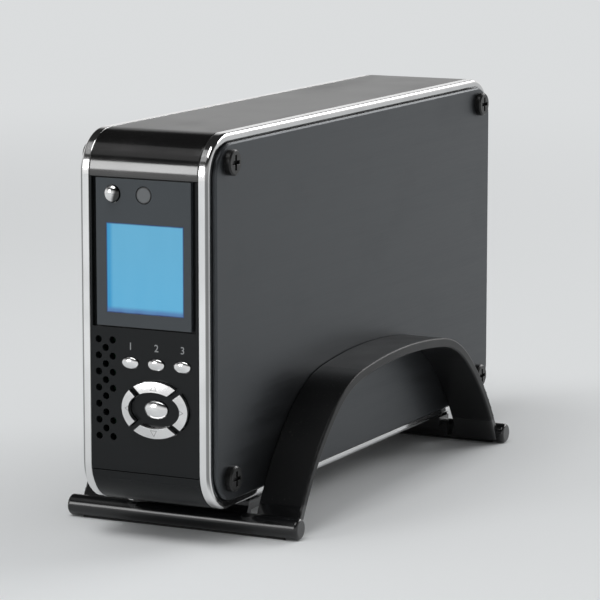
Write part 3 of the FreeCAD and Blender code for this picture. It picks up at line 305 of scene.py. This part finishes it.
# ---------------------------------------------------------------- finishes
def reopened(material):
    """A material's node helper, its shader and what drives its roughness, for more work on them."""
    n = Nodes(material.node_tree)
    shader = material.node_tree.nodes["Principled BSDF"]
    return n, shader, shader.inputs["Roughness"].links[0].from_socket


def polished_cover():
    """The top moulding: polished corners, and a satin skin where it lies flat."""
    material = plastic("polished_cover", grey(0.006), roughness=0.11, ripple=30.0, depth=0.001, change=0.01,
                       dust=0.05)
    n, shader, polished = reopened(material)
    flat = n.band(n.math("ABSOLUTE", n.split(n.normal())["Z"]), 0.95, 0.999)
    n.set(shader, "Roughness", n.math("ADD", polished, n.math("MULTIPLY", flat, 0.18)))
    n.set(shader, "IOR", 1.9)
    return material


def edge_distances(n, low, high):
    """How far a point on an upright panel is from its left, right, lower and upper edges."""
    parts = n.split(n.place())
    return [n.math("SUBTRACT", parts["X"], low[0]), n.math("SUBTRACT", high[0], parts["X"]),
            n.math("SUBTRACT", parts["Z"], low[2]), n.math("SUBTRACT", high[2], parts["Z"])]


UPPER_BLUE, LOWER_BLUE = (0.125, 0.43, 0.66, 1.0), (0.115, 0.44, 0.70, 1.0)
# the left-hand tone is painted shade of the recess the display sits in
LEFT_SHADE_BLUE, FOOT_BLUE = (0.035, 0.31, 0.60, 1.0), (0.08, 0.20, 0.44, 1.0)
PALE_BLUE, RIM_VIOLET = (0.16, 0.50, 0.74, 1.0), (0.035, 0.055, 0.16, 1.0)


def lit_display():
    """The display behind its pane: even blue, deeper at its foot, with a thin violet rim and painted shade
    of its recess down its left side.

    Each strip along an edge fades in between two distances from it, the far one and the near one.
    """
    low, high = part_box("display_pane")
    material, n, shader = new_material("lit_display")
    left, right, lower, upper = edge_distances(n, low, high)
    nearest = n.math("MINIMUM", n.math("MINIMUM", left, right), n.math("MINIMUM", lower, upper))
    blue = n.mix(n.band(upper, 0.0, high[2] - low[2]), UPPER_BLUE, LOWER_BLUE)
    # the strip down the left side is painted shade of the recess
    for distance, far, near, tone in ((left, 2.6 * MM, 0.9 * MM, LEFT_SHADE_BLUE),
                                      (lower, 2.4 * MM, 0.6 * MM, FOOT_BLUE),
                                      (nearest, 0.55 * MM, 0.05 * MM, RIM_VIOLET)):
        blue = n.mix(n.band(distance, far, near), blue, tone)
    streaks = n.noise(n.stretch(n.place(), (1.0, 1.0, 0.2)), BROAD_STREAKS, detail=1.0)
    blue = n.mix(n.band(streaks, 0.3, 0.7, out_high=0.10), blue, PALE_BLUE)
    skin = place_effect(n, "skin", Ripple=40.0)
    dusty = place_effect(n, "dust", Amount=0.03)
    n.set(shader, "Base Color", n.mix(0.5, blue, grey(0.0)))
    n.set(shader, "Emission Color", blue)
    n.set(shader, "Emission Strength", 0.55)
    n.set(shader, "Roughness", n.math("ADD", n.math("MULTIPLY", dusty["Smear"], 0.05), 0.12))
    n.set(shader, "Specular IOR Level", 0.4)
    bump(n, shader, skin["Height"], 0.0005 * MM, strength=0.4)
    return material


def middle_and_half(node):
    """The middle of a node's box, and half its width along X."""
    low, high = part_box(node)
    return [(a + b) / 2 for a, b in zip(low, high)], (high[0] - low[0]) / 2


def receiver_disc():
    """The infrared window: mid grey with a darker rim."""
    middle, radius = middle_and_half("ir_window")

    def paint(n, colour):
        flat = n.stretch(n.place(), (1.0, 0.0, 1.0), (middle[0], 0.0, middle[2]))
        from_middle = n.vectors("LENGTH", flat)["Value"]
        return n.mix(n.band(from_middle, radius * 0.72, radius * 0.95), colour, grey(0.03))

    return plastic("receiver_disc", grey(0.155, (0.95, 1.0, 1.04)), roughness=0.3, specular=0.4,
                   ripple=60.0, depth=0.001, dust=0.03, paint=paint)


def key_finish(side, direction):
    """A pad key with the thin outline of a triangle on it that points the way the key moves things.

    The triangle has equal sides.  A point's distance from its middle, measured square to the nearest
    side, is the larger of that to the two sloping sides and that to the base: the outline runs where
    this is the inradius.
    """
    middle, _ = middle_and_half("pad_%s_key" % side)
    ahead_x, ahead_z = direction
    inradius, line = 0.62 * MM, 0.13 * MM
    slant = math.radians(60.0)

    def paint(n, toned):
        parts = n.split(n.stretch(n.place(), (1.0, 1.0, 1.0), middle))
        ahead = n.math("ADD", n.math("MULTIPLY", parts["X"], ahead_x),
                       n.math("MULTIPLY", parts["Z"], ahead_z))
        beside = n.math("ADD", n.math("MULTIPLY", parts["X"], ahead_z),
                        n.math("MULTIPLY", parts["Z"], -ahead_x))
        to_slopes = n.math("ADD", n.math("MULTIPLY", ahead, math.cos(slant)),
                           n.math("MULTIPLY", n.math("ABSOLUTE", beside), math.sin(slant)))
        to_nearest = n.math("MAXIMUM", to_slopes, n.math("MULTIPLY", ahead, -1.0))
        off_line = n.math("ABSOLUTE", n.math("SUBTRACT", to_nearest, inradius))
        return n.mix(n.band(off_line, line, line * 0.4), toned, grey(0.30))

    return metal("key_" + side, grey(0.84), roughness=0.2, brushed=False, streaks=120.0, depth=0.002,
                 change=0.03, paint=paint)


def button_with_painted_reflection():
    """The power button: bright plating, with a painted reflection of a dark room round the right-hand side
    of its dome.
    """
    middle, radius = middle_and_half("power_button")
    tilt = 0.35                        # how far the painted reflection's edge leans, as X over Z

    def paint(n, toned):
        parts = n.split(n.stretch(n.place(), (1.0, 1.0, 1.0), middle))
        past_reflection_edge = n.math("SUBTRACT", parts["X"], n.math("MULTIPLY", parts["Z"], tilt))
        # the right-hand side is painted dark, as a reflection of the room
        return n.mix(n.band(past_reflection_edge, radius * 0.15, radius * 0.5), toned, grey(0.06))

    return metal("button_with_painted_reflection", grey(0.86), roughness=0.14, brushed=False, streaks=120.0, depth=0.002,
                 change=0.03, wear=0.0, paint=paint)


def plated_trim_with_painted_reflection():
    """Bright plating, with a painted dark reflection along the shoulder of the bead where it runs upright.

    The bead's outer side is darkened by the same painted reflection, but less so towards the foot of the
    case.
    """
    foot, waist = 38.0 * MM, 58.0 * MM

    def paint(n, toned):
        turned = n.split(n.normal())
        outward = n.math("ABSOLUTE", turned["X"])
        upright = n.band(n.math("ABSOLUTE", turned["Z"]), 0.45, 0.1)
        side = n.band(n.split(n.place())["Z"], foot, waist, out_high=0.45)
        reflection_by_turn = n.band(outward, 0.99, 0.8, out_low=side)
        reflection_mask = n.math("MULTIPLY", n.band(outward, 0.12, 0.4), reflection_by_turn)
        # painted reflection: the grey darkens the plating where the bead would mirror dark surroundings
        return n.mix(n.math("MULTIPLY", reflection_mask, upright), toned, grey(0.26))

    return metal("bright_trim", grey(0.95), roughness=0.09, brushed=False, streaks=60.0, depth=0.001,
                 change=0.02, wear=0.0, paint=paint)


RAIL_TOP = 8.9 * MM                    # the top of the stand's two rails, above the table


def stand_lacquer():
    """Black lacquer: a satin arch on rails with a polished clear coat."""
    coat = 0.7
    material = plastic("stand_lacquer", grey(0.006, (0.95, 1.0, 1.1)), roughness=0.22, specular=0.3,
                       ripple=70.0, depth=0.003)
    n, shader, polished = reopened(material)
    arch = n.band(n.split(n.place())["Z"], RAIL_TOP, RAIL_TOP + 2.0 * MM)
    n.set(shader, "Roughness", n.math("ADD", polished, n.math("MULTIPLY", arch, 0.14)))
    n.set(shader, "Coat Weight", n.math("SUBTRACT", coat, n.math("MULTIPLY", arch, coat)))
    n.set(shader, "Coat Roughness", 0.14)
    return material


JACK_COLOURS = {"red": (0.42, 0.012, 0.035, 1.0), "white": grey(0.8), "yellow": (0.78, 0.62, 0.05, 1.0),
                "blue": (0.08, 0.30, 0.62, 1.0), "green": (0.05, 0.36, 0.09, 1.0),
                "purple": (0.20, 0.13, 0.55, 1.0), "black": grey(0.012)}
BOARD_GREEN, MODULE_BLUE = (0.015, 0.10, 0.045, 1.0), (0.10, 0.38, 0.66, 1.0)
SMOKED, COOL, WARM = (0.86, 1.0, 1.12), (0.93, 1.0, 1.08), (1.0, 1.0, 0.97)

# one finish for each of the record's materials
finishes = {
    "gloss_black": stand_lacquer(),
    "case_black": plastic("case_black", grey(0.009, (0.86, 1.0, 1.10)), roughness=0.22, specular=0.24,
                          ripple=60.0, depth=0.002),
    "moulded_black": plastic("moulded_black", grey(0.012), roughness=0.42, specular=0.4, ripple=400.0,
                             depth=0.01),
    "black_rubber": plastic("black_rubber", grey(0.010), roughness=0.6, specular=0.3, ripple=900.0,
                            depth=0.03, dust=0.3),
    "smoked_window": plastic("smoked_window", grey(0.060, SMOKED), roughness=0.14, specular=0.42,
                             ripple=40.0, depth=0.001, dust=0.04),
    "white_plastic": plastic("white_plastic", grey(0.78, WARM), roughness=0.35, ripple=300.0,
                             depth=0.006),
    "bright_trim": plated_trim_with_painted_reflection(),
    "dark_aluminium": metal("dark_aluminium", grey(0.073, COOL), roughness=0.36, metallic=0.9),
    "cast_aluminium": metal("cast_aluminium", grey(0.5), roughness=0.45, brushed=False, streaks=500.0,
                            depth=0.02),
    "tray_steel": metal("tray_steel", grey(0.52), roughness=0.4, length=0.3, streaks=900.0),
    "steel": metal("steel", grey(0.6), roughness=0.28),
    "black_steel": metal("black_steel", grey(0.008), roughness=0.34, brushed=False, streaks=200.0,
                         metallic=0.2, depth=0.004, wear=0.04),
    "silver_button": metal("silver_button", grey(0.86), roughness=0.14, brushed=False, streaks=120.0,
                           depth=0.002, change=0.03),
    "circuit_board": plastic("circuit_board", BOARD_GREEN, roughness=0.35, ripple=700.0, depth=0.02),
    "grey_ribbon": plastic("grey_ribbon", grey(0.42), roughness=0.5, ripple=500.0, depth=0.02),
    "display_blue": plastic("display_blue", MODULE_BLUE, roughness=0.3),
    "clear_pane": lit_display(),
}
for jack, jack_colour in JACK_COLOURS.items():
    finishes["jack_" + jack] = plastic("jack_" + jack, jack_colour, roughness=0.3, ripple=300.0)

# finishes of single nodes, in place of their material's own
own_finishes = {"top_cover": polished_cover(), "ir_window": receiver_disc(),
                "power_button": button_with_painted_reflection()}
KEY_DIRECTIONS = {"up": (0.0, 1.0), "down": (0.0, -1.0), "left": (-1.0, 0.0), "right": (1.0, 0.0)}
for side, direction in KEY_DIRECTIONS.items():
    own_finishes["pad_%s_key" % side] = key_finish(side, direction)

for node_name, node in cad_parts.items():
    for material_slot in node.material_slots:
        listed = material_slot.material.name.split(".")[0]
        material_slot.material = own_finishes.get(node_name, finishes[listed])


# ---------------------------------------------------------------- printed numerals
NUMERAL_HEIGHT = 2.3 * MM
NUMERAL_LIFT = 5.3 * MM                # from the middle of an oval button to the middle of its figure
INK = 0.03 * MM                        # how far the figures stand out of the face


def numeral(text, x, z):
    """A printed figure on the front face, as a closed sheet of ink, with its middle at x and z.

    The figure's outline lies in its own (u, v) plane and its thickness along w.  With s the scale
    that makes it NUMERAL_HEIGHT high, each point goes to (x + s u, face - w, z + s v), so half of
    the sheet is proud of the face.
    """
    name = "numeral_" + text
    curve = bpy.data.curves.new(name, "FONT")
    curve.body, curve.align_x, curve.align_y = text, "CENTER", "CENTER"
    curve.size, curve.extrude = 1.0, INK
    source = bpy.data.objects.new(name + "_outline", curve)
    bpy.context.scene.collection.objects.link(source)
    bpy.context.view_layer.update()
    mesh = bpy.data.meshes.new_from_object(source.evaluated_get(bpy.context.evaluated_depsgraph_get()))
    bpy.data.objects.remove(source)
    bpy.data.curves.remove(curve)
    points = np.empty(len(mesh.vertices) * 3)
    mesh.vertices.foreach_get("co", points)
    u, v, w = points.reshape(-1, 3).T
    scale = NUMERAL_HEIGHT / np.ptp(v)
    across, up = (u - (u.min() + u.max()) / 2) * scale, (v - (v.min() + v.max()) / 2) * scale
    placed = np.stack([x + across, face_y - w, z + up], axis=1)
    mesh.vertices.foreach_set("co", placed.ravel())
    mesh.name = name
    mesh.materials.clear()
    mesh.materials.append(printed_ink)
    piece = bpy.data.objects.new(name, mesh)
    bpy.context.scene.collection.objects.link(piece)
    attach(piece, "player")


printed_ink = plastic("printed_ink", grey(0.36, (0.97, 1.0, 1.03)), roughness=0.5, specular=0.3,
                      ripple=900.0, wear=0.0, ease=0.01)
face_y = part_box("front_panel")[0][1]
for figure, side in (("1", "left"), ("2", "middle"), ("3", "right")):
    button_middle, _ = middle_and_half(side + "_oval_button")
    numeral(figure, button_middle[0], button_middle[2] + NUMERAL_LIFT)

# ---------------------------------------------------------------- camera
CAMERA_AIM = Vector((0.0, -0.00321, 0.0624))
CAMERA_AZIMUTH, CAMERA_ELEVATION, CAMERA_DISTANCE = 26.2, 9.3, 1.127
LENS, SENSOR_WIDTH = 196.0, 36.0       # millimetres


def put_facing(thing, target, azimuth, elevation, distance):
    """Place a camera or lamp so that it faces a point.

    The angles are in degrees: the azimuth from the front face's own direction, towards +X.
    """
    turn, rise = math.radians(azimuth), math.radians(elevation)
    away = Vector((math.sin(turn) * math.cos(rise), -math.cos(turn) * math.cos(rise), math.sin(rise)))
    placed = bpy.data.objects.new(thing.name, thing)
    bpy.context.scene.collection.objects.link(placed)
    placed.location = target + away * distance
    placed.rotation_euler = away.to_track_quat("Z", "Y").to_euler()
    return placed


camera_data = bpy.data.cameras.new("camera")
camera_data.lens, camera_data.sensor_width = LENS, SENSOR_WIDTH
bpy.context.scene.camera = put_facing(camera_data, CAMERA_AIM, CAMERA_AZIMUTH, CAMERA_ELEVATION,
                                      CAMERA_DISTANCE)


# ---------------------------------------------------------------- light and floor
STUDIO_MIDDLE = Vector((0.0, 0.0, 0.06))
OVERHEAD, HORIZON = grey(0.02), grey(0.82)
HORIZON_TOP, CEILING = 0.15, 0.6       # heights on the unit sphere, between which the room darkens
FLOOR_TINT = (0.98, 1.0, 1.01)
NEAR_TONE, FAR_TONE = 0.84, 0.72
ROOM_LIGHT = 0.36
NEAR_FLOOR, FAR_FLOOR = 0.5, 1.3       # metres from the case, between which the lamps' pools fade out
FLOOR_REACH = 8.0                      # half the floor's side


def softbox(name, azimuth, elevation, distance, size, radiance):
    """A rectangular lamp that faces the case, with the same brightness whatever its size."""
    lamp = bpy.data.lights.new(name, "AREA")
    lamp.shape = "RECTANGLE"
    lamp.size, lamp.size_y = size
    lamp.energy = radiance * math.pi * size[0] * size[1]
    put_facing(lamp, STUDIO_MIDDLE, azimuth, elevation, distance)


softbox("key", azimuth=-31.0, elevation=17.0, distance=1.9, size=(0.5, 0.60), radiance=5.0)
softbox("front_top", azimuth=-12.0, elevation=66.0, distance=1.5, size=(0.9, 0.7), radiance=4.0)
softbox("overhead", azimuth=-50.0, elevation=50.0, distance=1.8, size=(1.5, 0.7), radiance=0.28)
softbox("back", azimuth=152.0, elevation=28.0, distance=2.1, size=(1.7, 0.7), radiance=4.5)


def background_rays(n):
    """One for the rays that meet the plain background: the camera's, mirrored and see-through ones."""
    rays = n.add("ShaderNodeLightPath").outputs
    return n.math("MAXIMUM", rays["Is Camera Ray"],
                  n.math("MAXIMUM", rays["Is Glossy Ray"], rays["Is Transmission Ray"]))


def studio_world():
    """A pale horizon that darkens towards a dim ceiling, with an even light for the matt surfaces."""
    world = bpy.data.worlds.new("studio")
    bpy.context.scene.world = world
    world.use_nodes = True
    world.node_tree.nodes.clear()
    n = Nodes(world.node_tree)
    height = n.split(n.add("ShaderNodeTexCoord").outputs["Generated"])["Z"]
    tone = n.mix(n.band(height, HORIZON_TOP, CEILING), HORIZON, OVERHEAD)
    shown = n.add("ShaderNodeBackground", Color=tone, Strength=1.0)
    lit = n.add("ShaderNodeBackground", Color=grey(ROOM_LIGHT), Strength=1.0)
    choice = n.add("ShaderNodeMixShader", Fac=background_rays(n))
    n.set(choice, 1, lit.outputs[0])
    n.set(choice, 2, shown.outputs[0])
    n.add("ShaderNodeOutputWorld", Surface=choice.outputs[0])


def pale_floor():
    """A flat pale sheet, wide enough to fill every view, which fades to the plain horizon far away."""
    corners = [(x * FLOOR_REACH, y * FLOOR_REACH, 0.0) for x, y in ((-1, -1), (1, -1), (1, 1), (-1, 1))]
    mesh = bpy.data.meshes.new("floor")
    mesh.from_pydata(corners, [], [(0, 1, 2, 3)])
    sheet = bpy.data.objects.new("floor", mesh)
    bpy.context.scene.collection.objects.link(sheet)
    material = bpy.data.materials.new("pale_floor")
    material.use_nodes = True
    material.node_tree.nodes.clear()
    n = Nodes(material.node_tree)
    near = n.add("ShaderNodeBsdfDiffuse", Color=grey(NEAR_TONE, FLOOR_TINT))
    far = n.add("ShaderNodeEmission", Color=grey(FAR_TONE, FLOOR_TINT), Strength=1.0)
    from_middle = n.vectors("LENGTH", n.place())["Value"]
    fade = n.math("MULTIPLY", n.band(from_middle, NEAR_FLOOR, FAR_FLOOR), background_rays(n))
    blend = n.add("ShaderNodeMixShader", Fac=fade)
    n.set(blend, 1, near.outputs[0])
    n.set(blend, 2, far.outputs[0])
    n.add("ShaderNodeOutputMaterial", Surface=blend.outputs[0])
    mesh.materials.append(material)


studio_world()
pale_floor()
bpy.context.scene.view_settings.view_transform = "Standard"
